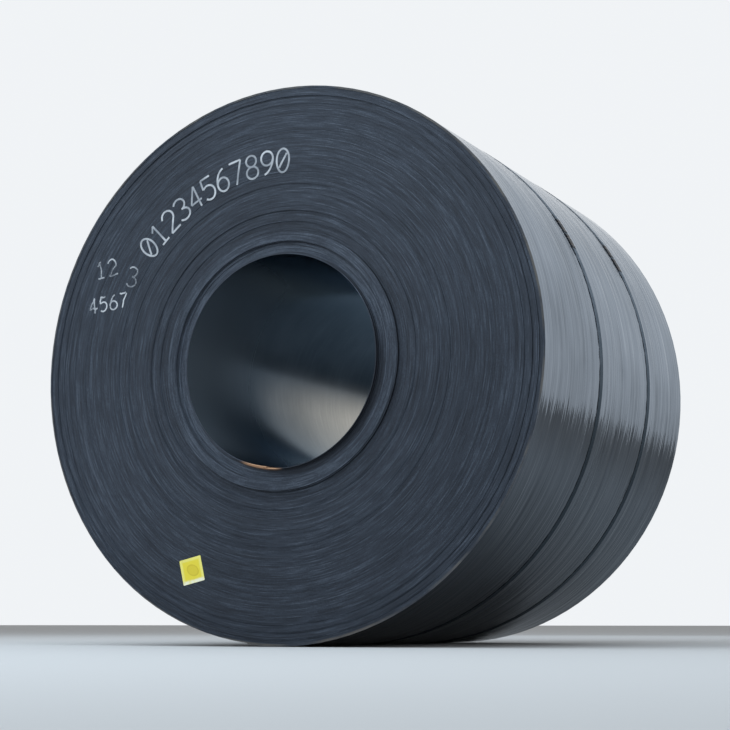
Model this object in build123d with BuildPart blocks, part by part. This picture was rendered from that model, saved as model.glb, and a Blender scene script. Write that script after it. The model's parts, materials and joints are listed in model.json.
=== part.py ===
from build123d import *
from math import cos, degrees, radians, sin
import os

# A coil of hot-rolled steel strip, lying on its side as it is stored.
# Millimetres. The coil's axis runs along Y and the marked end faces -Y.
# The origin is on the ground, under the middle of the coil.
# Angles go round the axis from +X up towards +Z.
os.makedirs("parts", exist_ok=True)

# Strip and coil
strip_width = 1500
strip_thickness = 3.9
turns = 153
bore_radius = 368.5

# The turns weren't wound level with each other, so groups of them stand out
# at one end and are set back at the other. Each group has its last turn and
# how far it is moved to +Y, in turns out from the bore, then in from the rim.
bore_turns = [1, 2, 3, 5, 9, 12, 21, 30, 37, 40, 44, 59, 64, 69, 75, 84, 107, 113, 121, 125]
bore_shifts = [-7, 2, 6, 8, 9, 6, -6, 5, 2, 4.5, 0.5, -0.5, 1, -1, 1, -0.5, 0, 0.8, 0, 0.6]
rim_turns = [22, 18, 16, 11, 9, 5, 2, 0]
rim_shifts = [0, -1, 1.5, -0.5, 3, -1, 2.5, 1]

# Straps: two steel bands round the coil, each lapped and joined by two seals
strap_width = 32
strap_thickness = 1.0
strap_clearance = 0.05
strap_from_end = {"front": 545, "rear": 420}
seals_angle = {"front": 29, "rear": 30}
lap_end_length = 23

# Seals: steel sleeves over the two layers of the strap, notched to lock them
seal_length = 57
seal_pitch = 66
seal_thickness = 1.2
seal_side_gap = 0.2
notch_radius = 3.5
notch_from_middle = 15

# Label: a square sticker on the level turns of the marked end
label_side = 87
label_thickness = 0.4
label_turns_in = 46
label_angle = 244.4
label_turned = 13

outer_radius = bore_radius + turns * strip_thickness
strap_inner = outer_radius + strap_clearance
strap_outer = strap_inner + strap_thickness
lap_outer = strap_outer + strap_thickness
axis_height = strap_outer
half_width = strip_width / 2

coil_axis = Axis((0, 0, axis_height), (0, 1, 0))
turning_plane = Plane.XY.offset(axis_height)


def outwards(angle):
    return Vector(cos(radians(angle)), 0, sin(radians(angle)))


# Coil: strip wound turn on turn, made as one turned solid with its bore.
# Both ends are stepped where a group of turns stands out or is set back.
def end_points(end):
    edges = [bore_radius + turn * strip_thickness for turn in bore_turns]
    edges += [outer_radius - turn * strip_thickness for turn in rim_turns]
    points = []
    inner = bore_radius
    for outer, shift in zip(edges, bore_shifts + rim_shifts):
        points += [(inner, end + shift), (outer, end + shift)]
        inner = outer
    return points


with BuildPart() as coil:
    with BuildSketch(turning_plane):
        with BuildLine():
            Polyline(*end_points(-half_width), *reversed(end_points(half_width)), close=True)
        make_face()
    revolve(axis=coil_axis)

coil.part.label = "coil"
export_step(coil.part, "parts/coil.step")


# A plane through the coil's axis, for a profile that is turned about it
def radial_plane(angle):
    up_round = outwards(angle).cross(Vector(0, 1, 0))
    return Plane(origin=(0, 0, axis_height), x_dir=outwards(angle), z_dir=up_round)


# A plane square to a radius, for cuts made inwards from over the seal's top
def tangent_plane(angle, radius):
    origin = outwards(angle) * radius + Vector(0, 0, axis_height)
    return Plane(origin=origin, x_dir=(0, 1, 0), z_dir=outwards(angle))


strap_middle = {
    "front": -half_width + strap_from_end["front"],
    "rear": half_width - strap_from_end["rear"],
}
lap_length = seal_pitch + seal_length + 2 * lap_end_length
lap_sweep = degrees(lap_length / strap_outer)
seal_sweep = degrees(seal_length / lap_outer)

seal_inner_half = strap_width / 2 + seal_side_gap
seal_outer_half = seal_inner_half + seal_thickness
seal_roof = lap_outer + strap_clearance
seal_top = seal_roof + seal_thickness

for place, middle in strap_middle.items():
    # Strap: a flat band pulled tight, with its end lapped over its start.
    with BuildPart() as strap:
        with BuildSketch(turning_plane):
            with Locations(((strap_inner + strap_outer) / 2, middle)):
                Rectangle(strap_thickness, strap_width)
        revolve(axis=coil_axis)
        with BuildSketch(radial_plane(seals_angle[place] - lap_sweep / 2)):
            with Locations(((strap_outer + lap_outer) / 2, middle)):
                Rectangle(strap_thickness, strap_width)
        revolve(axis=coil_axis, revolution_arc=-lap_sweep)

    strap.part.label = f"{place}_strap"
    export_step(strap.part, f"parts/{place}_strap.step")

    # Seals: a sleeve over the lap, closed down both of its edges. The notches
    # go through its top and sides, two to an edge.
    for name, offset in {"lower": -seal_pitch / 2, "upper": seal_pitch / 2}.items():
        seal_middle = seals_angle[place] + degrees(offset / lap_outer)

        with BuildPart() as seal:
            with BuildSketch(radial_plane(seal_middle - seal_sweep / 2)):
                with BuildLine():
                    Polyline(
                        (strap_inner, middle - seal_outer_half), (seal_top, middle - seal_outer_half),
                        (seal_top, middle + seal_outer_half), (strap_inner, middle + seal_outer_half),
                        (strap_inner, middle + seal_inner_half), (seal_roof, middle + seal_inner_half),
                        (seal_roof, middle - seal_inner_half), (strap_inner, middle - seal_inner_half),
                        close=True,
                    )
                make_face()
            revolve(axis=coil_axis, revolution_arc=-seal_sweep)
            for along in (-notch_from_middle, notch_from_middle):
                notch_angle = seal_middle + degrees(along / lap_outer)
                with BuildSketch(tangent_plane(notch_angle, seal_top + notch_radius)):
                    with Locations((middle - seal_outer_half, 0), (middle + seal_outer_half, 0)):
                        Circle(notch_radius)
                extrude(amount=-(seal_top + notch_radius - outer_radius), mode=Mode.SUBTRACT)

        seal.part.label = f"{place}_{name}_seal"
        export_step(seal.part, f"parts/{place}_{name}_seal.step")


# Label: a thin square sticker pressed flat on the level turns.
label_centre = outwards(label_angle) * (outer_radius - label_turns_in * strip_thickness)
label_plane = Plane(
    origin=label_centre + Vector(0, -half_width, axis_height),
    x_dir=outwards(label_turned),
    z_dir=(0, -1, 0),
)

with BuildPart() as label:
    with BuildSketch(label_plane):
        Rectangle(label_side, label_side)
    extrude(amount=label_thickness)

label.part.label = "label"
export_step(label.part, "parts/label.step")
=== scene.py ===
import json

import bpy
import numpy as np
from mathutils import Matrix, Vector


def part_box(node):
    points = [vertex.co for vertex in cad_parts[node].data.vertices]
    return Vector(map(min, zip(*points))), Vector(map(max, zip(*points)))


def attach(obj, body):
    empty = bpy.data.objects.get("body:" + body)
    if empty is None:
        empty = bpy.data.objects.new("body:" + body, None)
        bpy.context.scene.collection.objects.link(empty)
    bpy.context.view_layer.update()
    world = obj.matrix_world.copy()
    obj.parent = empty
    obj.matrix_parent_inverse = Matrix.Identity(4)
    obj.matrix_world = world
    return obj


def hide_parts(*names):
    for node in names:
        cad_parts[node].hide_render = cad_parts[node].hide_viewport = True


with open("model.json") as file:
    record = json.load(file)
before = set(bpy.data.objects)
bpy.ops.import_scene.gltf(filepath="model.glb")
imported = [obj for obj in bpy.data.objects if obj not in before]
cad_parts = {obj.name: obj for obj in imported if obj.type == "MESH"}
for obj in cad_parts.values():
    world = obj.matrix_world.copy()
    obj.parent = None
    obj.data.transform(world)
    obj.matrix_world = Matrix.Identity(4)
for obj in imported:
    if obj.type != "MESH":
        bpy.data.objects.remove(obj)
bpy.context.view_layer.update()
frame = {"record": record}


# Coil. One length of hot-rolled steel strip, wound turn on turn round a mandrel that was then
# drawn out. The strip has round mill edges and a blue-grey skin of scale. It isn't fixed: its own
# stiffness and the straps hold it. Here it is one closed spiral with both ends of the strip.
bore = frame["record"]["mounts"][0]
BORE_RADIUS = bore["dims"]["r_mm"] / 1000
STRIP_WIDTH = bore["dims"]["length_mm"] / 1000
AXIS_HEIGHT = bore["pos_m"][2]
STRIP_THICKNESS = 0.0039
TURNS = 153
OUTER_RADIUS = BORE_RADIUS + TURNS * STRIP_THICKNESS
FRONT_END = -STRIP_WIDTH / 2
FRONT, REAR = -1, 1

# Groups of turns that stand out or are set back: last turn, and metres to the back. The first list
# counts turns out from the bore, the second in from the rim.
BORE_GROUPS = [
    (1, -0.007), (2, 0.002), (3, 0.006), (5, 0.008), (9, 0.009), (12, 0.006), (21, -0.006), (30, 0.005),
    (37, 0.002), (40, 0.0045), (44, 0.0005), (59, -0.0005), (64, 0.001), (69, -0.001), (75, 0.001),
    (84, -0.0005), (107, 0.0), (113, 0.0008), (121, 0.0), (125, 0.0006),
]
RIM_GROUPS = [
    (22, 0.0), (18, -0.001), (16, 0.0015), (11, -0.0005), (9, 0.003), (5, -0.001), (2, 0.0025), (0, 0.001),
]
GROUP_CHANGE = 0.35

TAIL_ANGLE = np.radians(263)
TAIL_RAMP = np.radians(34)
EDGE_ROUND = 0.0007
GROOVE_DEPTH = 0.0006
STEP_LEAST = 0.0012
STEP_FULL = 0.0030
DRIFT = 0.0006
DRIFT_TURNS = 6
STAGGER = 0.0005
STAGGERS_PER_TURN = 4
COIL_COLUMNS = 108


def round_axis(angle, radius, y):
    """Points at an angle round the coil's axis, from +X up towards +Z, with their radius and y."""
    across, up = radius * np.cos(angle), AXIS_HEIGHT + radius * np.sin(angle)
    return np.stack(np.broadcast_arrays(across, y, up), -1)


def wound_on(angle):
    """How far round an angle is from the strip's outer end, the way that the strip runs back in."""
    return np.mod(TAIL_ANGLE - angle, 2 * np.pi)


def climb(wound):
    """How far a turn has climbed on to the one below: 0 at the tail, a smooth rise over the ramp, then 1."""
    share = np.clip(wound / TAIL_RAMP, 0, 1)
    return share * share * (3 - 2 * share)


def set_back(strip_turn):
    """How far the strip's edge lies to the back, at places counted in turns from its start in the bore.

    The shift of the group that the turn is in, with a short change between groups, and two small
    drifts that only ever set the edge back: one over several turns and one within a turn.
    """
    last = [turn for turn, _ in BORE_GROUPS] + [TURNS - turn for turn, _ in RIM_GROUPS]
    shifts = [shift for _, shift in BORE_GROUPS + RIM_GROUPS]
    places = np.array(last[:-1])
    knots = np.stack([places - GROUP_CHANGE, places + GROUP_CHANGE], 1).ravel()
    group = np.interp(strip_turn, knots, np.stack([shifts[:-1], shifts[1:]], 1).ravel())
    random = np.random.default_rng(11)
    drifts = random.random(TURNS // DRIFT_TURNS + 2) * DRIFT
    staggers = random.random((TURNS + 1) * STAGGERS_PER_TURN) * STAGGER
    drift = np.interp(strip_turn / DRIFT_TURNS, np.arange(len(drifts)), drifts)
    stagger = np.interp(strip_turn * STAGGERS_PER_TURN, np.arange(len(staggers)), staggers)
    return group + drift + stagger


def coil_end(facing):
    """The end facing -Y or +Y: radius, y, strip turn, groove and step, in rows from the bore to the rim.

    Every turn has three rows: the two sides of its flat edge, each an edge rounding in from the
    strip's face, and the groove to the next turn. One row before them is the bore's corner. The
    last column is the first one, three rows on, apart from the last turn's, where the strip ends.
    Past the climb a turn is as far out as it is counted from the bore, and before it one less, so
    the strip's start stands into the bore, over the next turn's own corner. Depth is inwards from
    the end's own plane, so a turn that is set back at the front stands out at the rear. The
    groove's value is 1 between level turns, and falls to 0 where a turn's face shows as a step.
    Step is then 1 where this turn stands out past the next, and -1 where the next stands out.
    """
    turn = np.arange(TURNS)[:, None]
    column = np.arange(COIL_COLUMNS + 1)[None, :] / COIL_COLUMNS
    strip_turn = turn + column
    inner = BORE_RADIUS + STRIP_THICKNESS * (turn - 1 + climb(2 * np.pi * column))
    outer = inner + STRIP_THICKNESS
    back, next_back = -facing * set_back(strip_turn), -facing * set_back(strip_turn + 1)
    groove = np.maximum(back, next_back) + GROOVE_DEPTH
    groove[0, 0] = next_back[0, 0] + EDGE_ROUND
    groove[-1] = back[-1] + EDGE_ROUND
    in_groove = GROOVE_DEPTH / (GROOVE_DEPTH + np.abs(next_back - back)) * (turn < TURNS - 1)
    share = (np.abs(next_back - back) - STEP_LEAST) / (STEP_FULL - STEP_LEAST)
    step = np.sign(next_back - back) * np.clip(share, 0, 1) * (turn < TURNS - 1)
    level = np.zeros_like(in_groove)
    radius = np.stack([inner + EDGE_ROUND, outer - EDGE_ROUND, outer], 1).reshape(-1, COIL_COLUMNS + 1)
    depth = np.stack([back, back, groove], 1).reshape(-1, COIL_COLUMNS + 1)
    depth = np.vstack([back[:1] + EDGE_ROUND, depth])
    wound = np.stack([strip_turn, strip_turn, strip_turn + 0.5], 1).reshape(-1, COIL_COLUMNS + 1)
    return (
        np.vstack([inner[:1], radius]),
        facing * (STRIP_WIDTH / 2 - depth),
        np.vstack([strip_turn[:1], wound]),
        np.vstack([level[:1], np.stack([level, level, in_groove], 1).reshape(-1, COIL_COLUMNS + 1)]),
        np.vstack([level[:1], np.stack([level, level, step], 1).reshape(-1, COIL_COLUMNS + 1)]),
    )


def quads_between(first, second):
    """Four-cornered faces between two rows of points, one face for each step along them."""
    return np.stack([first[:-1], first[1:], second[1:], second[:-1]], 1)


def make_piece(name, points, faces, materials, face_material=None, sharp_angle=40):
    """A smooth-shaded mesh object at the origin, from arrays of points and faces, that rides on the part."""
    mesh = bpy.data.meshes.new(name)
    mesh.from_pydata(points.tolist(), [], [list(face) for face in faces])
    for material in materials:
        mesh.materials.append(material)
    if face_material is not None:
        mesh.polygons.foreach_set("material_index", face_material.astype(np.int32))
    mesh.polygons.foreach_set("use_smooth", np.ones(len(faces), bool))
    mesh.update()
    mesh.set_sharp_from_angle(angle=np.radians(sharp_angle))
    piece = bpy.data.objects.new(name, mesh)
    bpy.context.scene.collection.objects.link(piece)
    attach(piece, "root")
    return piece


def add_values(piece, name, values):
    """Keeps one number for each point of a piece, for its material to read."""
    piece.data.attributes.new(name, "FLOAT", "POINT").data.foreach_set("value", values.astype(np.float32))


class Shade:
    """A socket of a material's nodes. Sums on it add Math nodes, and add makes any other node."""

    def __init__(self, tree, socket=None):
        self.tree, self.socket = tree, socket

    def add(self, kind, settings, inputs, output=0):
        node = self.tree.nodes.new("ShaderNode" + kind)
        for name, value in settings.items():
            setattr(node, name, value)
        for name, value in inputs.items():
            if isinstance(value, Shade):
                self.tree.links.new(value.socket, node.inputs[name])
            else:
                node.inputs[name].default_value = value
        return Shade(self.tree, node.outputs[output])

    def math(self, operation, first, second=0.0):
        return self.add("Math", {"operation": operation}, {0: first, 1: second})

    def __add__(self, other):
        return self.math("ADD", self, other)

    def __sub__(self, other):
        return self.math("SUBTRACT", self, other)

    def __rsub__(self, other):
        return self.math("SUBTRACT", other, self)

    def __mul__(self, other):
        return self.math("MULTIPLY", self, other)

    __radd__ = __add__
    __rmul__ = __mul__

    def rising(self, low, high):
        """0 below low, 1 above high and smooth between them."""
        span = {"Value": self, "From Min": low, "From Max": high}
        return self.add("MapRange", {"interpolation_type": "SMOOTHSTEP"}, span)

    def falling(self, low, high):
        return 1 - self.rising(low, high)

    def mix(self, first, second):
        """The first colour where this is 0 and the second where it is 1."""
        return self.add("Mix", {"data_type": "RGBA"}, {0: self, 6: first, 7: second}, output=2)

    def place(self):
        """The point's place on the object, in metres."""
        return self.add("TexCoord", {}, {}, output="Object")

    def parts(self):
        """The x, y and z of a vector."""
        split = self.add("SeparateXYZ", {}, {0: self})
        return [Shade(self.tree, split.socket.node.outputs[k]) for k in range(3)]

    def vector(self, x, y, z):
        return self.add("CombineXYZ", {}, {0: x, 1: y, 2: z})

    def kept(self, name):
        """A number that the piece keeps for each of its points."""
        return self.add("Attribute", {"attribute_name": name}, {}, output="Fac")

    def noise(self, scale, detail=2.0, roughness=0.5):
        """Noise from 0 to 1 at this vector."""
        inputs = {"Vector": self, "Scale": scale, "Detail": detail, "Roughness": roughness}
        return self.add("TexNoise", {}, inputs)

    def line_noise(self, scale, detail=2.0, roughness=0.5):
        """Noise from 0 to 1 along this number."""
        inputs = {"W": self, "Scale": scale, "Detail": detail, "Roughness": roughness}
        return self.add("TexNoise", {"noise_dimensions": "1D"}, inputs)

    def bump(self, distance):
        """A normal for a surface that stands this many metres high where this number is 1."""
        return self.add("Bump", {}, {"Height": self, "Distance": distance, "Strength": 1.0})


def make_material(name, inputs):
    """A material with one Principled shader. inputs is a function that gives its sockets from a Shade."""
    material = bpy.data.materials.new(name)
    material.use_nodes = True
    tree = material.node_tree
    shader = tree.nodes["Principled BSDF"]
    for socket, value in inputs(Shade(tree)).items():
        if isinstance(value, Shade):
            tree.links.new(value.socket, shader.inputs[socket])
        else:
            shader.inputs[socket].default_value = value
    return material


EDGE_DARK = (0.012, 0.016, 0.024, 1)
EDGE_MIDDLE = (0.035, 0.045, 0.063, 1)
EDGE_PALE = (0.084, 0.103, 0.134, 1)
# Painted shade on the step faces that look away from the axis, and painted light on those that look towards
# it.
STEP_OUTER = (0.012, 0.014, 0.018, 1)
STEP_INNER = (0.100, 0.115, 0.140, 1)
# Painted shade in the grooves between turns.
EDGE_GROOVE = (0.009, 0.011, 0.015, 1)
# A painted highlight on the outermost turn's rim, tinted warm by a little rust.
EDGE_RIM_HIGHLIGHT = (0.150, 0.135, 0.115, 1)
# Rust at the foot of the bore's mouth, painted bright enough to stand for a warm glint there.
BORE_RUST_AND_GLINT = (0.500, 0.290, 0.170, 1)
RUST_GLINT_HEIGHT = (AXIS_HEIGHT - 0.355, AXIS_HEIGHT - 0.335)
RUST_GLINT_LEFT = (-0.17, -0.13)
RUST_GLINT_RIGHT = (-0.02, 0.02)
# Turns lightened as painted light: a lip that stands out from the end, and the inner turns set back behind it.
LIP_TURNS = (12, 21)
INNER_TURNS = (2, 12)
# The first turns are darkened towards the lower right of the end: painted shade.
SHADED_TURNS = (4, 11)


def edge_colour(shade, groove):
    """Slate blue-grey with lines that follow the turns and fade round the coil, and painted shade in the
    grooves.
    """
    strip_turn = shade.kept("strip_turn")
    x, _, z = shade.place().parts()
    arc = shade.vector(strip_turn * 0.9, x * 2.6, z * 2.6).noise(1.0, 2.0, 0.65)
    short_arc = shade.vector(strip_turn * 1.6, x * 11, z * 11).noise(1.0, 2.0, 0.6)
    band = strip_turn.line_noise(0.13, 2.0, 0.5)
    patch = shade.place().noise(1.9, 3.0, 0.55)
    grain = shade.place().noise(260, 2.0, 0.7)
    tone = arc.rising(0.25, 0.75) * 0.26 + short_arc.rising(0.28, 0.72) * 0.34
    tone = tone + band.rising(0.25, 0.75) * 0.08 + patch.rising(0.30, 0.75) * 0.12
    tone = tone + grain.rising(0.3, 0.7) * 0.20
    first_lip, last_lip = LIP_TURNS
    first_inner, last_inner = INNER_TURNS
    # Painted light: the lip turns and the inner turns are made lighter.
    lip = strip_turn.rising(first_lip, first_lip + 1) * strip_turn.falling(last_lip - 1, last_lip)
    inner = strip_turn.rising(first_inner, first_inner + 1) * strip_turn.falling(last_inner - 2, last_inner)
    # Painted shade on the first turns towards the lower right.
    painted_shade = strip_turn.falling(*SHADED_TURNS) * (x - z + AXIS_HEIGHT).rising(0.20, 0.52)
    tone = tone + lip * 0.14 + inner * 0.22 - painted_shade * 0.60
    colour = tone.rising(0.12, 0.72).mix(EDGE_DARK, EDGE_MIDDLE)
    colour = tone.rising(0.55, 0.95).mix(colour, EDGE_PALE)
    # The grooves take a dark colour: painted shade.
    return groove.mix(colour, EDGE_GROOVE)


def turn_edges(shade):
    """The strip's mill edges. The outermost turn's has a painted highlight along its rounded rim, tinted a
    little warm by rust.
    """
    strip_turn = shade.kept("strip_turn")
    one_turn = strip_turn.line_noise(1.7, 1.0, 0.5)
    grain = shade.place().noise(420, 3.0, 0.6)
    x, _, z = shade.place().parts()
    # Painted highlight along the outermost turn's rim.
    painted_highlight = shade.place().noise(7, 3.0, 0.6).rising(0.35, 0.65) * strip_turn.rising(TURNS - 1.9, TURNS - 1.6)
    # A spot of rust on the first turn's edge low in the bore, painted bright as a glint.
    across_rust_and_glint = x.falling(*RUST_GLINT_RIGHT) * x.rising(*RUST_GLINT_LEFT)
    rust_and_glint = strip_turn.falling(1.6, 2.2) * z.falling(*RUST_GLINT_HEIGHT) * across_rust_and_glint
    colour = edge_colour(shade, shade.kept("groove").rising(0.15, 1.0))
    # Painted shade on the steps that face outward, and painted light on those that face inward.
    colour = shade.kept("step").rising(0.10, 0.60).mix(colour, STEP_OUTER)
    colour = (shade.kept("step").falling(-0.70, -0.20) * 0.6).mix(colour, STEP_INNER)
    colour = (painted_highlight * 0.55).mix(colour, EDGE_RIM_HIGHLIGHT)
    return {
        "Base Color": rust_and_glint.mix(colour, BORE_RUST_AND_GLINT),
        "Metallic": 0.1,
        "Specular IOR Level": 0.28,
        "Roughness": 0.44 + 0.16 * one_turn + 0.10 * grain,
        "Normal": (grain + 1.5 * one_turn).bump(0.00012),
    }


SCALE_DARK = (0.125, 0.140, 0.162, 1)
SCALE_MIDDLE = (0.250, 0.278, 0.318, 1)
SCALE_PALE = (0.400, 0.432, 0.478, 1)
# Painted shade: the colour that the outside's lower half is darkened to, as if it mirrored a dark ground.
SCALE_SHADED = (0.046, 0.052, 0.060, 1)
SCALE_SHEEN = (0.70, 0.74, 0.78, 1)
BORE_DARK = (0.026, 0.036, 0.048, 1)
BORE_PALE = (0.062, 0.080, 0.100, 1)
# Painted reflection: pale warm metal where the bore mirrors its bright far opening.
BORE_REFLECTION = (0.520, 0.475, 0.400, 1)
# Painted light near the bore's mouth, where light falls in.
BORE_MOUTH_LIT = (0.215, 0.262, 0.310, 1)
BORE_SHEEN = (0.66, 0.76, 0.86, 1)


def rolled_outside(shade):
    """The outside of the last turn: oily blue-grey scale, glossy, with soft clouds and very fine ribs.

    The ribs run round the coil, the way the strip was rolled. They bend what the surface mirrors,
    so an edge in it looks like the teeth of a comb, and a few of them are rougher and catch more light.
    """
    place = shade.place()
    x, y, z = place.parts()
    rib = shade.vector(x * 0.7, y * 21, z * 0.7).noise(1.0, 3.0, 0.6)
    streak = shade.vector(x * 0.9, y * 52, z * 0.9).noise(1.0, 2.0, 0.5)
    fine = shade.vector(x * 1.5, y * 90, z * 1.5).noise(1.0, 2.0, 0.6)
    cloud = place.noise(2.2, 3.0, 0.55)
    mottle = shade.vector(x * 4, y * 18, z * 4).noise(1.0, 3.0, 0.6)
    tone = cloud.rising(0.30, 0.70) * 0.24 + mottle.rising(0.30, 0.70) * 0.14
    tone = tone + fine.rising(0.30, 0.70) * 0.16 + rib.rising(0.30, 0.70) * 0.12 + 0.17
    colour = tone.rising(0.10, 0.60).mix(SCALE_DARK, SCALE_MIDDLE)
    colour = tone.rising(0.55, 0.95).mix(colour, SCALE_PALE)
    # Painted shade and painted reflection: darker towards the bottom, as if it mirrored a dark ground.
    painted_shade = (z + 0.25 * mottle).falling(0.45, 1.30)
    rough_ribs = 0.12 * rib.rising(0.54, 0.72) + 0.20 * streak.rising(0.52, 0.70)
    return {
        "Base Color": (painted_shade * 0.72).mix(colour, SCALE_SHADED),
        "Metallic": 1.0,
        "Specular Tint": SCALE_SHEEN,
        "Roughness": 0.06 + rough_ribs + 0.04 * mottle,
        "Normal": (rib + 0.14 * fine).bump(0.0048),
    }


def rolled_bore(shade):
    """The inside of the first turn: darker and smoother scale, with long fine scratches from the mandrel.

    Along the left of its far half it is painted pale and warm, a painted reflection of the bright far opening,
    and near its mouth on the left it is lighter and rougher, painted light where light falls in.
    """
    place = shade.place()
    x, y, z = place.parts()
    scratch = shade.vector(x * 6, y * 120, z * 6).noise(1.0, 4.0, 0.65)
    cloud = place.noise(3.4, 3.0, 0.55)
    tone = cloud.rising(0.30, 0.75) * 0.6 + scratch.rising(0.45, 0.75) * 0.4
    left = z.falling(AXIS_HEIGHT - 0.08, AXIS_HEIGHT + 0.12) * x.falling(-0.30, -0.05)
    far = left * (y + 0.2 * cloud).rising(-0.35, 0.85)
    # Painted reflection along the left of the far half.
    painted_highlight = far * (0.65 + 0.45 * scratch)
    # Painted light near the mouth, on the left.
    mouth = y.falling(-0.70, -0.20) * x.falling(-0.30, -0.05)
    # Rust at the foot of the bore's mouth, painted bright as a glint.
    rust_and_glint = y.falling(-0.750, -0.735) * z.falling(*RUST_GLINT_HEIGHT) * x.falling(*RUST_GLINT_RIGHT)
    colour = (mouth * 0.8).mix(tone.mix(BORE_DARK, BORE_PALE), BORE_MOUTH_LIT)
    colour = painted_highlight.mix(colour, BORE_REFLECTION)
    return {
        "Base Color": rust_and_glint.mix(colour, BORE_RUST_AND_GLINT),
        "Metallic": 1 - rust_and_glint,
        "Roughness": 0.17 + 0.06 * cloud + 0.05 * scratch + 0.30 * mouth,
        "Specular Tint": BORE_SHEEN,
        "Normal": scratch.bump(0.00006),
    }


def make_coil():
    """The whole coil as one closed surface: two spiral ends, the outside, the bore and the strip's ends."""
    ends = [coil_end(FRONT), coil_end(REAR)]
    rows = len(ends[0][0])
    angle = TAIL_ANGLE - 2 * np.pi * np.arange(COIL_COLUMNS + 1) / COIL_COLUMNS
    index = np.arange(rows)[:, None] * COIL_COLUMNS + np.arange(COIL_COLUMNS)[None, :]
    tail = rows * COIL_COLUMNS + np.arange(3)
    front = np.hstack([index, np.concatenate([index[3:, 0], tail])[:, None]])

    def once_each(grid):
        """A grid's values for one end's points. Its last column repeats the first, but for the tail's."""
        return np.concatenate([grid[:, :-1].reshape(-1, *grid.shape[2:]), grid[-3:, -1]])

    points = np.vstack([once_each(round_axis(angle, radius, y)) for radius, y, *_ in ends])
    rear = front + rows * COIL_COLUMNS + 3
    front_faces = np.vstack([quads_between(front[row], front[row + 1]) for row in range(rows - 1)])
    rear_faces = np.vstack([quads_between(rear[row + 1], rear[row]) for row in range(rows - 1)])
    outside = quads_between(front[-1], rear[-1])
    inside = quads_between(rear[0], front[0])
    strip_start = quads_between(front[:4, 0], rear[:4, 0])
    strip_end = quads_between(rear[-4:, -1], front[-4:, -1])
    faces = np.vstack([front_faces, rear_faces, strip_start, strip_end, outside, inside])
    edges = len(faces) - len(outside) - len(inside)
    face_material = np.repeat([0, 1, 2], [edges, len(outside), len(inside)])

    materials = [
        make_material("turn_edges", turn_edges),
        make_material("rolled_outside", rolled_outside),
        make_material("rolled_bore", rolled_bore),
    ]
    piece = make_piece("coil_spiral", points, faces, materials, face_material)
    for place, name in enumerate(("strip_turn", "groove", "step"), 2):
        add_values(piece, name, np.concatenate([once_each(end[place]) for end in ends]))
    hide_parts("coil")


make_coil()


# Straps. Two flat bands of blued steel pulled tight round the coil, each lapped over its own start
# and locked there by two seals. They lie on the coil's outside, step over the strip's end, and are
# nicked at both edges where the seals were crimped.
STRAP_THICKNESS = 0.0010
STRAP_CLEARANCE = 0.00005
STRAP_CORNER = 0.0003
LAP_PAST_SEALS = 0.023
LAP_RISE = 0.012
STRAP_STEPS = 360
LAP_STEP = 0.0012
SEAL_LENGTH = 0.057
NOTCH_DEPTH = 0.0035
NOTCH_HALF_LENGTH = 0.0045
NOTCH_FROM_MIDDLE = 0.015


def angle_of(node):
    """The angle round the coil's axis of the middle of a node's box."""
    low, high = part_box(node)
    return np.arctan2((low.z + high.z) / 2 - AXIS_HEIGHT, (low.x + high.x) / 2)


def tight_round(angle):
    """Inner radius of a band pulled tight round the coil.

    The outside is a circle, one strip thickness lower past the strip's end until it has climbed
    again. From that end the band runs straight, as a tangent to the lower circle.
    """
    wound = wound_on(angle)
    lower = OUTER_RADIUS - STRIP_THICKNESS
    outside = lower + STRIP_THICKNESS * climb(wound)
    straight = lower / np.cos(np.maximum(np.arccos(lower / OUTER_RADIUS) - wound, 0))
    return np.maximum(outside, straight) + STRAP_CLEARANCE


def nick(angle, seals):
    """How deep the edges are pressed in at an angle: a cosine hump at each of a seal's two notches."""
    depth = np.zeros_like(angle)
    for middle in seals:
        for along in (-NOTCH_FROM_MIDDLE, NOTCH_FROM_MIDDLE):
            off = (angle - middle) * OUTER_RADIUS - along
            hump = NOTCH_DEPTH * (1 + np.cos(np.pi * np.clip(off / NOTCH_HALF_LENGTH, -1, 1))) / 2
            depth = np.maximum(depth, hump)
    return depth


def carried_faces(stations, around):
    """Faces of a closed profile carried along a path: quads between its stations, and a cap at each end."""
    ring = np.arange(around + 1) % around
    rows = np.arange(stations)[:, None] * around + ring[None, :]
    sides = np.vstack([quads_between(rows[k], rows[k + 1]) for k in range(stations - 1)])
    return [*sides.tolist(), rows[0, :-1][::-1].tolist(), rows[-1, :-1].tolist()]


STRAP_DARK = (0.045, 0.052, 0.064, 1)
STRAP_PALE = (0.120, 0.138, 0.165, 1)
# Painted shade: the colour that the straps darken to low down on the coil.
STRAP_SHADED = (0.008, 0.009, 0.011, 1)
SEAL_DARK = (0.006, 0.007, 0.010, 1)
SEAL_PALE = (0.018, 0.021, 0.027, 1)
STRAP_RUBBED = (0.120, 0.124, 0.130, 1)
STRAP_SHEEN = (0.75, 0.88, 1.0, 1)
STRAP_RUST = (0.085, 0.045, 0.024, 1)


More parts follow.
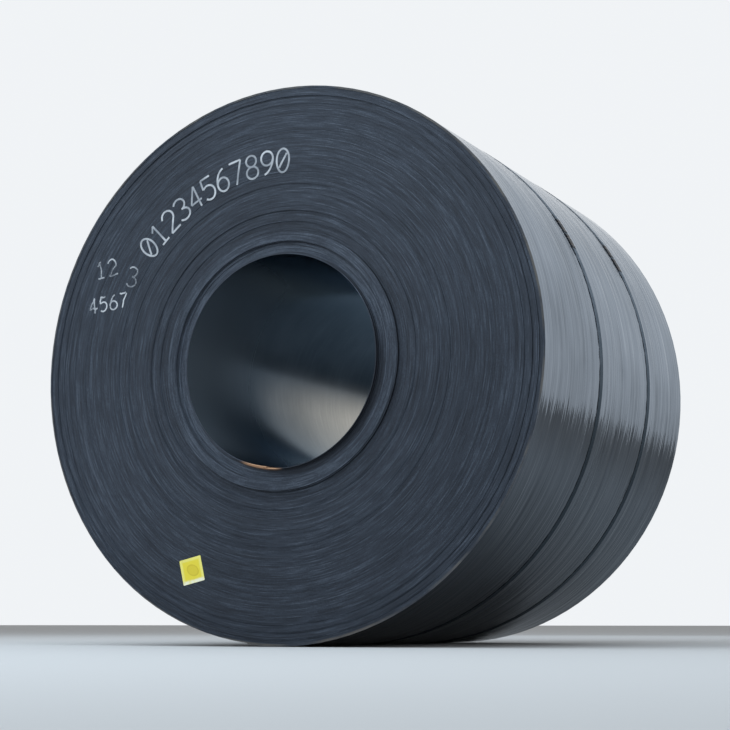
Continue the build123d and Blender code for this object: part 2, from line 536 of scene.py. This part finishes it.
def blued_steel(shade, dark, pale, metallic):
    """Blued steel between a dark and a pale tone, with painted shade that darkens it low down on the coil.

    It is bright where the edges are rubbed, with a little rust in the nicks.
    """
    place = shade.place()
    _, _, z = place.parts()
    cloud = place.noise(24, 4.0, 0.6)
    scratch = place.noise(160, 3.0, 0.7)
    worn = shade.kept("worn")
    # Painted shade: darker low down on the coil.
    colour = (z.falling(0.70, 1.25) * 0.9).mix(cloud.rising(0.30, 0.72).mix(dark, pale), STRAP_SHADED)
    colour = (shade.kept("nicked") * scratch.rising(0.30, 0.60) * 0.8).mix(colour, STRAP_RUST)
    colour = (worn * scratch.rising(0.42, 0.62) * 0.6).mix(colour, STRAP_RUBBED)
    return {
        "Base Color": colour,
        "Metallic": metallic,
        "IOR": 1.45,
        "Specular IOR Level": 0.18,
        "Specular Tint": STRAP_SHEEN,
        "Roughness": 0.34 + 0.14 * cloud + 0.10 * scratch,
        "Normal": (cloud + 0.3 * scratch).bump(0.0001),
    }


def make_strap(place, seals, material):
    """One band: its rectangle, with cut corners, carried once round the coil and on over its own start."""
    low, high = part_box(f"{place}_strap")
    middle, half_width = (low.y + high.y) / 2, (high.y - low.y) / 2
    start = seals[0] - (SEAL_LENGTH / 2 + LAP_PAST_SEALS) / OUTER_RADIUS
    lap = seals[-1] + (SEAL_LENGTH / 2 + LAP_PAST_SEALS) / OUTER_RADIUS - start
    fine = LAP_STEP / OUTER_RADIUS
    along = np.concatenate([
        np.arange(0, lap, fine),
        np.linspace(lap, 2 * np.pi - lap / 4, STRAP_STEPS),
        np.arange(2 * np.pi - lap / 4 + fine, 2 * np.pi + lap, fine),
    ])
    angle = start + along
    share = np.clip((along - 2 * np.pi) * OUTER_RADIUS / LAP_RISE + 1, 0, 1)
    inner = tight_round(angle) + (STRAP_THICKNESS + STRAP_CLEARANCE) * share * share * (3 - 2 * share)
    nicked = nick(start + np.mod(along, 2 * np.pi), seals)
    side = np.array([-1, -1, -1, 1, 1, 1, 1, -1])
    cut = np.array([0, 0, 1, 1, 0, 0, 1, 1]) * STRAP_CORNER
    height = np.array([STRAP_CORNER, STRAP_THICKNESS - STRAP_CORNER, STRAP_THICKNESS, STRAP_THICKNESS,
                       STRAP_THICKNESS - STRAP_CORNER, STRAP_CORNER, 0, 0])
    half = half_width - nicked[:, None] - cut[None, :]
    points = round_axis(angle[:, None], inner[:, None] + height[None, :], middle + side[None, :] * half)
    piece = make_piece(f"{place}_strap_band", points.reshape(-1, 3), carried_faces(*half.shape), [material])
    add_values(piece, "worn", np.broadcast_to(cut[None, :] == 0, half.shape).ravel())
    add_values(piece, "nicked", np.broadcast_to(nicked[:, None] / NOTCH_DEPTH, half.shape).ravel())
    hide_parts(f"{place}_strap")


blued_strap = make_material("blued_strap", lambda shade: blued_steel(shade, STRAP_DARK, STRAP_PALE, 0.9))
SEALS_AT = {
    place: [angle_of(f"{place}_{name}_seal") for name in ("lower", "upper")] for place in ("front", "rear")
}
for place, seals in SEALS_AT.items():
    make_strap(place, seals, blued_strap)


# Seals. Sleeves of the same blued steel, pushed over both layers of the strap and closed down its
# edges. A crimping tool has pressed two notches into each edge, which lock the layers together.
SEAL_THICKNESS = 0.0012
SEAL_BEND = 0.0014
SEAL_STEP = 0.0008
SEAL_TOP_SHARE = 0.6
SEAL_WORN_END = 0.97
NOTCH_DIP = 0.0007

blued_seal = make_material("blued_seal", lambda shade: blued_steel(shade, SEAL_DARK, SEAL_PALE, 0.0))


def make_seal(node, seals, middle_angle):
    """One sleeve: a flat-topped arch with round corners, outside and inside, carried along the lap."""
    low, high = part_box(node)
    middle, half_width = (low.y + high.y) / 2, (high.y - low.y) / 2
    along = np.linspace(-SEAL_LENGTH / 2, SEAL_LENGTH / 2, round(SEAL_LENGTH / SEAL_STEP))
    angle = middle_angle + along / OUTER_RADIUS
    roof = 2 * (STRAP_THICKNESS + STRAP_CLEARANCE)
    bend = np.linspace(0, np.pi / 2, 4)
    corner_in = SEAL_BEND * (1 - np.cos(bend))
    corner_up = roof + SEAL_THICKNESS - SEAL_BEND * (1 - np.sin(bend))
    outer_in = np.concatenate([[0], corner_in, [half_width * SEAL_TOP_SHARE]])
    outer_up = np.concatenate([[0], corner_up, [roof + SEAL_THICKNESS]])
    inner_in = np.array([SEAL_THICKNESS, SEAL_THICKNESS, half_width * SEAL_TOP_SHARE])
    inner_up = np.array([0, roof, roof])
    left_in = np.concatenate([outer_in, outer_in[::-1], inner_in, inner_in[::-1]])
    height = np.concatenate([outer_up, outer_up[::-1], inner_up, inner_up[::-1]])
    count, inside = len(outer_in), len(inner_in)
    side = np.repeat([-1, 1, 1, -1], [count, count, inside, inside])
    nicked = nick(angle, seals)
    near_edge = left_in < 2 * SEAL_BEND
    half = half_width - nicked[:, None] * near_edge - left_in[None, :]
    dip = NOTCH_DIP * (nicked / NOTCH_DEPTH)[:, None] * (near_edge & (height > roof))
    radius = OUTER_RADIUS + STRAP_CLEARANCE + height[None, :] - dip
    points = round_axis(angle[:, None], radius, middle + side[None, :] * half)
    piece = make_piece(f"{node}_sleeve", points.reshape(-1, 3), carried_faces(*half.shape), [blued_seal])
    ends = (np.abs(np.linspace(-1, 1, len(angle))) > SEAL_WORN_END)[:, None]
    bent = (near_edge & (height > roof))[None, :]
    add_values(piece, "worn", (ends | bent | (nicked[:, None] > 0.5 * NOTCH_DEPTH)).ravel())
    add_values(piece, "nicked", np.broadcast_to(nicked[:, None] / NOTCH_DEPTH, half.shape).ravel())
    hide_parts(node)


for place, seals in SEALS_AT.items():
    for name, middle_angle in zip(("lower", "upper"), seals):
        make_seal(f"{place}_{name}_seal", seals, middle_angle)


# Label. A square of yellow coated paper, stuck flat across the turns low on the marked end. It has
# a pale border, a plain darker mark in the middle and a faded lower edge, and it shows the turns.
LABEL_TURNED = np.radians(13)
LABEL_THICKNESS = 0.00018
LABEL_CORNER = 0.003
LABEL_RIPPLE = 0.00012
LABEL_COLUMNS = 48
LABEL_ROWS = 64

LABEL_YELLOW = (0.800, 0.660, 0.040, 1)
LABEL_PALE = (0.850, 0.770, 0.180, 1)
LABEL_MARK = (0.640, 0.500, 0.022, 1)
LABEL_FADED = (0.880, 0.860, 0.640, 1)
LABEL_DIRT = (0.230, 0.200, 0.080, 1)


def coated_paper(shade):
    """The label's face, by its own across and up from -1 to 1: border, round mark, faded edge and dirt."""
    across, up = shade.kept("across"), shade.kept("up")
    place = shade.place()
    wear = place.noise(90, 4.0, 0.65)
    smudge = place.noise(26, 3.0, 0.6)
    edge = shade.math("MAXIMUM", shade.math("ABSOLUTE", across), shade.math("ABSOLUTE", up))
    long_way, short_way = 0.8 * across - 0.6 * up - 0.06, 0.6 * across + 0.8 * up - 0.05
    mark = 3.0 * long_way * long_way + 5.5 * short_way * short_way
    ring = mark.rising(0.55, 0.75) * mark.falling(0.95, 1.15)
    colour = edge.rising(0.70, 0.86).mix(LABEL_YELLOW, LABEL_PALE)
    colour = (mark.falling(0.95, 1.15) * 0.55 + ring * 0.4).mix(colour, LABEL_MARK)
    colour = (up.falling(-0.86, -0.62) * wear.rising(0.25, 0.55)).mix(colour, LABEL_FADED)
    colour = (smudge.rising(0.56, 0.80) * wear.rising(0.40, 0.75) * 0.5).mix(colour, LABEL_DIRT)
    return {
        "Base Color": colour,
        "Roughness": 0.42 + 0.25 * smudge,
        "Normal": (wear + smudge).bump(0.00006),
    }


def make_label():
    """A thin square with round corners that ripples over the turns. Its rows run up it, each a closed loop
    across the face and back behind it, and a row in the corners' height is shorter by the corner's circle.
    """
    low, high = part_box("label")
    middle = (low + high) / 2
    half = (high.x - low.x) / 2 / (np.cos(LABEL_TURNED) + np.sin(LABEL_TURNED))
    up = half * np.sin(np.linspace(-np.pi / 2, np.pi / 2, LABEL_ROWS))
    into_corner = np.clip(np.abs(up) - (half - LABEL_CORNER), 0, LABEL_CORNER)
    row_half = half - LABEL_CORNER + np.sqrt(LABEL_CORNER**2 - into_corner**2)
    share = np.linspace(-1, 1, LABEL_COLUMNS)
    share = np.concatenate([share, share[::-1]])
    across = share[None, :] * row_half[:, None]
    up = np.broadcast_to(up[:, None], across.shape)
    x = middle.x + across * np.cos(LABEL_TURNED) - up * np.sin(LABEL_TURNED)
    z = middle.z + across * np.sin(LABEL_TURNED) + up * np.cos(LABEL_TURNED)
    turn = (np.hypot(x, z - AXIS_HEIGHT) - BORE_RADIUS) / STRIP_THICKNESS
    ripple = LABEL_RIPPLE * (1 - np.cos(2 * np.pi * turn)) / 2
    front = np.repeat([LABEL_THICKNESS, 0], LABEL_COLUMNS)[None, :]
    y = high.y - LABEL_RIPPLE - front + ripple
    points = np.stack([x, y, z], -1).reshape(-1, 3)
    material = make_material("coated_paper", coated_paper)
    piece = make_piece("paper_label", points, carried_faces(*across.shape), [material])
    add_values(piece, "across", (across / half).ravel())
    add_values(piece, "up", (up / half).ravel())
    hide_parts("label")


make_label()


# Painted number. A marking machine wrote a row of digits round the marked end in thin pale paint.
# The paint lies on the edges of the turns and breaks at the grooves. The digits here only count.
PAINTED_DIGITS = "01234567890"
PAINTED_FIRST = np.radians(140.4)
PAINTED_PITCH = np.radians(5.1)
PAINTED_RADIUS = 0.703
PAINTED_HEIGHT = 0.085
PAINTED_STROKE = 0.0072
PAINT_THICKNESS = 0.0002
PAINT_STEP = 0.0025
DIGIT_WIDTH = 0.62
STROKE_ACROSS = 4


def line(start, end):
    """Points on a straight stroke, from 0 to 1 along it."""
    return lambda share: np.outer(1 - share, start) + np.outer(share, end)


def arc(centre, radii, first, last):
    """Points on part of an ellipse between two angles in degrees, from 0 to 1 along it."""
    def points(share):
        turned = np.radians(first + (last - first) * share)
        return np.stack([centre[0] + radii[0] * np.cos(turned), centre[1] + radii[1] * np.sin(turned)], 1)
    return points


# Each digit's strokes in a cell one high, from its lower left corner.
DIGIT_STROKES = {
    "0": [arc((0.31, 0.50), (0.29, 0.50), 90, 450), line((0.14, 0.20), (0.48, 0.80))],
    "1": [line((0.31, 0), (0.31, 1)), line((0.31, 1), (0.10, 0.78)), line((0.08, 0), (0.54, 0))],
    "2": [
        arc((0.31, 0.71), (0.28, 0.29), 165, -38), line((0.53, 0.53), (0.03, 0)), line((0.03, 0), (0.60, 0)),
    ],
    "3": [arc((0.28, 0.75), (0.27, 0.25), 150, -90), arc((0.28, 0.25), (0.31, 0.25), 90, -150)],
    "4": [line((0.45, 0), (0.45, 1)), line((0.45, 1), (0.02, 0.30)), line((0.02, 0.30), (0.60, 0.30))],
    "5": [
        line((0.55, 1), (0.10, 1)), line((0.10, 1), (0.07, 0.55)), arc((0.29, 0.32), (0.30, 0.32), 132, -140),
    ],
    "6": [arc((0.62, 0.30), (0.58, 0.70), 105, 180), arc((0.31, 0.30), (0.27, 0.30), 180, 540)],
    "7": [line((0.04, 1), (0.58, 1)), line((0.58, 1), (0.20, 0))],
    "8": [arc((0.31, 0.76), (0.23, 0.24), 90, 450), arc((0.31, 0.26), (0.28, 0.26), 90, 450)],
    "9": [arc((0.31, 0.70), (0.27, 0.30), 0, 360), arc((0.00, 0.70), (0.58, 0.70), 0, -75)],
}


def on_marked_end(x, z, off):
    """Points just off the marked end at x and z, and the turn that they are on, counted across the turns.

    They lie off the furthest forward of the turn's edge and its two neighbours' there.
    """
    radius, angle = np.hypot(x, z - AXIS_HEIGHT), np.arctan2(z - AXIS_HEIGHT, x)
    wound = wound_on(angle)
    crossed = (radius - BORE_RADIUS) / STRIP_THICKNESS + 1 - climb(wound)
    strip_turn = np.floor(crossed) + wound / (2 * np.pi)
    forward = np.minimum.reduce([set_back(strip_turn + k) for k in (-1, 0, 1)])
    return np.stack([x, FRONT_END + forward - off, z], -1), crossed, strip_turn


def stroke_mesh(path, width, layer):
    """A thin closed ribbon of paint along a path of x and z: flat behind, with its front a little narrower."""
    step = np.gradient(path, axis=0)
    sideways = np.stack([-step[:, 1], step[:, 0]], 1) / np.linalg.norm(step, axis=1, keepdims=True)
    offsets = np.linspace(-0.5, 0.5, STROKE_ACROSS)
    offsets = np.concatenate([offsets, offsets[::-1] * 0.8])
    place = path[:, None, :] + offsets[None, :, None] * (width * sideways)[:, None, :]
    off = layer + np.repeat([PAINT_THICKNESS / 4, PAINT_THICKNESS], STROKE_ACROSS)[None, :]
    return on_marked_end(place[..., 0], place[..., 1], off)


def make_marks(name, strokes, width, material):
    """Every stroke of a marking as one piece. Where strokes cross, the later lies a hair further off."""
    all_points, all_faces, crossed, strip_turns, count = [], [], [], [], 0
    for layer, path in enumerate(strokes):
        points, across, strip_turn = stroke_mesh(path, width, PAINT_THICKNESS / 10 * (layer % 4))
        faces = carried_faces(*across.shape)
        all_points.append(points.reshape(-1, 3))
        all_faces += [[corner + count for corner in face] for face in faces]
        crossed.append(across.ravel())
        strip_turns.append(strip_turn.ravel())
        count += across.size
    piece = make_piece(name, np.vstack(all_points), all_faces, [material])
    add_values(piece, "crossed", np.concatenate(crossed))
    add_values(piece, "strip_turn", np.concatenate(strip_turns))


PAINT_PALE = (0.560, 0.580, 0.610, 1)
PAINT_THIN = (0.260, 0.280, 0.310, 1)


def worn_paint(shade, kept_on):
    """Thin paint that has worn in spots and hardly reached the grooves. kept_on is the share that is left."""
    place = shade.place()
    spots = place.noise(230, 4.0, 0.7)
    fade = place.noise(14, 2.0, 0.5)
    from_edge = shade.math("ABSOLUTE", shade.math("FRACT", shade.kept("crossed")) - 0.5)
    groove = from_edge.rising(0.34, 0.47)
    kept = (spots + 0.7 * fade).rising(0.98 - kept_on, 1.18 - kept_on) * (1 - 0.75 * groove)
    paint = fade.rising(0.35, 0.65).mix(PAINT_THIN, PAINT_PALE)
    return {
        # Where the paint is missing, the turns' edge colour shows, with painted shade in its grooves.
        "Base Color": kept.mix(edge_colour(shade, groove), paint),
        "Roughness": 0.62 + 0.2 * spots,
        "Normal": spots.bump(0.0001),
    }


def painted_strokes():
    """The strokes of the painted digits as paths of x and z, bent round the axis with their tops outwards."""
    paths = []
    for number, digit in enumerate(PAINTED_DIGITS):
        middle = PAINTED_FIRST - number * PAINTED_PITCH
        for stroke in DIGIT_STROKES[digit]:
            coarse = stroke(np.linspace(0, 1, 24))
            length = PAINTED_HEIGHT * np.linalg.norm(np.diff(coarse, axis=0), axis=1).sum()
            place = stroke(np.linspace(0, 1, max(6, int(length / PAINT_STEP)))) - (DIGIT_WIDTH / 2, 0.5)
            radius = PAINTED_RADIUS + PAINTED_HEIGHT * place[:, 1]
            angle = middle - PAINTED_HEIGHT * place[:, 0] / PAINTED_RADIUS
            paths.append(np.stack([radius * np.cos(angle), AXIS_HEIGHT + radius * np.sin(angle)], 1))
    return paths


paint = make_material("marking_paint", lambda shade: worn_paint(shade, 0.50))
make_marks("painted_digits", painted_strokes(), PAINTED_STROKE, paint)


# Chalk marks. Rows of figures chalked by hand on the left of the marked end, half rubbed off. The
# strokes wander and lean a little. The figures here are plain digits.
CHALK_STROKE = 0.0055
CHALK_WANDER = 0.0016
CHALK_DRIFTS = 5
# Digits, the left end of their foot in x and z from the coil's axis, their height, and how they lean.
CHALK_ROWS = [
    ("12", (-0.765, 0.352), 0.060, 8),
    ("3", (-0.640, 0.318), 0.070, -12),
    ("4567", (-0.795, 0.226), 0.052, 5),
]
CHALK_SPACING = 0.85


def chalked_strokes():
    """The strokes of the chalked digits as paths of x and z, each leaned and shaken by slow random drifts."""
    random = np.random.default_rng(5)
    paths = []
    for digits, (left, foot), height, lean in CHALK_ROWS:
        turned = np.radians(lean)
        for number, digit in enumerate(digits):
            for stroke in DIGIT_STROKES[digit]:
                share = np.linspace(0, 1, 28)
                place = height * (stroke(share) + (number * CHALK_SPACING, 0))
                drift = random.normal(0, CHALK_WANDER, (CHALK_DRIFTS, 2))
                knots = np.linspace(0, 1, CHALK_DRIFTS)
                place += np.stack([np.interp(share, knots, drift[:, k]) for k in (0, 1)], 1)
                x = left + place[:, 0] * np.cos(turned) - place[:, 1] * np.sin(turned)
                z = foot + place[:, 0] * np.sin(turned) + place[:, 1] * np.cos(turned)
                paths.append(np.stack([x, AXIS_HEIGHT + z], 1))
    return paths


chalk = make_material("marking_chalk", lambda shade: worn_paint(shade, 0.36))
make_marks("chalked_digits", chalked_strokes(), CHALK_STROKE, chalk)


# Studio. A pale floor and backdrop, the soft light of a grey sky, one very wide lamp over the marked
# end and a weak one behind the far end, and a camera just off the floor, looking up at the marked end.
FLOOR_HALF = 40
FLOOR_GREY = (0.55, 0.55, 0.55, 1)
SKY_COLOUR = (0.92, 0.945, 0.97, 1)
SKY_LIGHT = 0.42
SKY_SEEN = 0.95
LAMP_COLOUR = (0.76, 0.89, 1.0)
LAMP_WATTS = 305
LAMP_SIZE = (8.0, 6.0)
LAMP_AT = (-0.7, -2.5, 3.8)
LAMP_TO = (-0.2, -0.6, 0.9)
FILL_WATTS = 32
FILL_SIZE = (3, 2)
FILL_AT = (-0.6, 4.2, 2.4)
FILL_TO = (0, 0.75, 1.0)
CAMERA_AT = (2.845, -5.758, 0.08)
CAMERA_TO = (-0.05, 0, 1.055)
CAMERA_LENS = 84
SENSOR_WIDTH = 36


def add_to_stage(name, data):
    """A new object of the studio's, in the scene."""
    thing = bpy.data.objects.new(name, data)
    bpy.context.scene.collection.objects.link(thing)
    return thing


def aim(thing, place, target):
    """Puts a lamp or camera at a place, looking at a target."""
    thing.location = place
    thing.rotation_euler = (Vector(target) - Vector(place)).to_track_quat("-Z", "Y").to_euler()


def make_floor():
    """One level square at the coil's foot."""
    mesh = bpy.data.meshes.new("floor")
    corners = [(-FLOOR_HALF, -FLOOR_HALF, 0), (FLOOR_HALF, -FLOOR_HALF, 0),
               (FLOOR_HALF, FLOOR_HALF, 0), (-FLOOR_HALF, FLOOR_HALF, 0)]
    mesh.from_pydata(corners, [], [(0, 1, 2, 3)])
    mesh.materials.append(make_material("floor", lambda shade: {"Base Color": FLOOR_GREY, "Roughness": 0.9}))
    add_to_stage("floor", mesh)


def make_sky():
    """A plain backdrop that the camera and reflections see brighter than it lights the coil."""
    world = bpy.data.worlds.new("studio")
    world.use_nodes = True
    bpy.context.scene.world = world
    shade = Shade(world.node_tree)
    camera_ray = shade.add("LightPath", {}, {}, output="Is Camera Ray")
    outputs = camera_ray.socket.node.outputs
    seen = shade.math("MAXIMUM", camera_ray, Shade(world.node_tree, outputs["Is Glossy Ray"]))
    seen = shade.math("MAXIMUM", seen, Shade(world.node_tree, outputs["Is Transmission Ray"]))
    background = world.node_tree.nodes["Background"]
    background.inputs["Color"].default_value = SKY_COLOUR
    strength = SKY_LIGHT + (SKY_SEEN - SKY_LIGHT) * seen
    world.node_tree.links.new(strength.socket, background.inputs["Strength"])


def make_lamp(name, watts, size, place, target):
    """One wide soft lamp, out of the camera's sight, turned to a target."""
    data = bpy.data.lights.new(name, "AREA")
    data.shape = "RECTANGLE"
    data.size, data.size_y = size
    data.energy, data.color = watts, LAMP_COLOUR
    lamp = add_to_stage(name, data)
    lamp.visible_camera = False
    aim(lamp, place, target)
    return lamp


def make_camera():
    """The photograph's side of the coil, with the whole of it in the frame."""
    data = bpy.data.cameras.new("camera")
    data.lens = CAMERA_LENS
    data.sensor_width = SENSOR_WIDTH
    camera = add_to_stage("camera", data)
    aim(camera, CAMERA_AT, CAMERA_TO)
    bpy.context.scene.camera = camera


make_floor()
make_sky()
make_lamp("overhead", LAMP_WATTS, LAMP_SIZE, LAMP_AT, LAMP_TO)
make_lamp("fill", FILL_WATTS, FILL_SIZE, FILL_AT, FILL_TO).visible_glossy = False
make_camera()
bpy.context.scene.view_settings.view_transform = "Standard"
